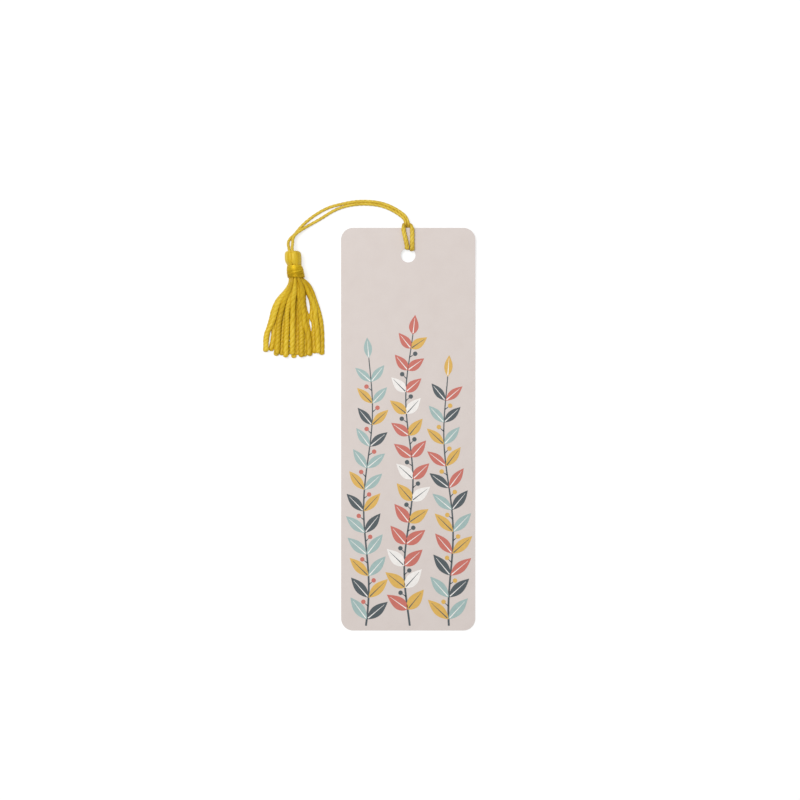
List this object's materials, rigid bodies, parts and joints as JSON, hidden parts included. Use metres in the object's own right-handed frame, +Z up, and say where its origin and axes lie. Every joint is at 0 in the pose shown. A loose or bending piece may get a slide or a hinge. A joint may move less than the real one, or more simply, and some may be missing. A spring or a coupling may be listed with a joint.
{
  "type": "bookmark",
  "caption": "Flat card bookmark with rounded corners and a punched hole, carrying a corded tassel that is hitched through the hole and swings on its cord.",
  "frame": {"origin": "middle of the card's back face, on the surface that the bookmark lies on", "axes": "+Y along the card towards the hole, +X across the card, +Z up out of the printed face"},
  "size_m": [0.0798, 0.1633, 0.0065],
  "materials": {
    "card_stock": "satin",
    "satin_cord": "satin",
    "tassel_yarn": "satin",
    "binding_thread": "satin"
  },
  "bodies": {
    "card": {"card": "card_stock", "cord_hitch": "satin_cord"},
    "cord_root": {"cord_root": "satin_cord"},
    "cord_run": {"cord_run_outer": "satin_cord", "cord_run_inner": "satin_cord"},
    "cord_eye": {"cord_eye_outer": "satin_cord", "cord_eye_inner": "satin_cord"},
    "tassel": {"stopper_knot": "satin_cord", "neck_binding": "binding_thread", "tassel_strand_01": "tassel_yarn", "tassel_strand_02": "tassel_yarn", "tassel_strand_03": "tassel_yarn", "tassel_strand_04": "tassel_yarn", "tassel_strand_05": "tassel_yarn", "tassel_strand_06": "tassel_yarn", "tassel_strand_07": "tassel_yarn", "tassel_strand_08": "tassel_yarn", "tassel_strand_09": "tassel_yarn", "tassel_strand_10": "tassel_yarn", "tassel_strand_11": "tassel_yarn", "tassel_strand_12": "tassel_yarn", "tassel_strand_13": "tassel_yarn", "tassel_strand_14": "tassel_yarn", "tassel_strand_15": "tassel_yarn", "tassel_strand_16": "tassel_yarn", "tassel_strand_17": "tassel_yarn", "tassel_strand_18": "tassel_yarn"}
  },
  "joints": [
    {"name": "cord_turn_over", "type": "hinge", "parent": "card", "child": "cord_root", "pos_m": [-0.00045, 0.07945, 0.00171], "axis": [0, 1, 0], "range_deg": [0, 150]},
    {"name": "cord_swing", "type": "hinge", "parent": "cord_root", "child": "cord_run", "pos_m": [-0.00143, 0.08129, 0], "axis": [0, 0, 1], "range_deg": [-70, 4]},
    {"name": "tassel_swing", "type": "hinge", "parent": "cord_run", "child": "cord_eye", "pos_m": [-0.0432, 0.0733, 0], "axis": [0, 0, 1], "range_deg": [-85, 4]},
    {"name": "tassel_lift", "type": "hinge", "parent": "cord_eye", "child": "tassel", "pos_m": [-0.0436, 0.0687, 0.00327], "axis": [-1, 0, 0], "range_deg": [0, 90]}
  ]
}
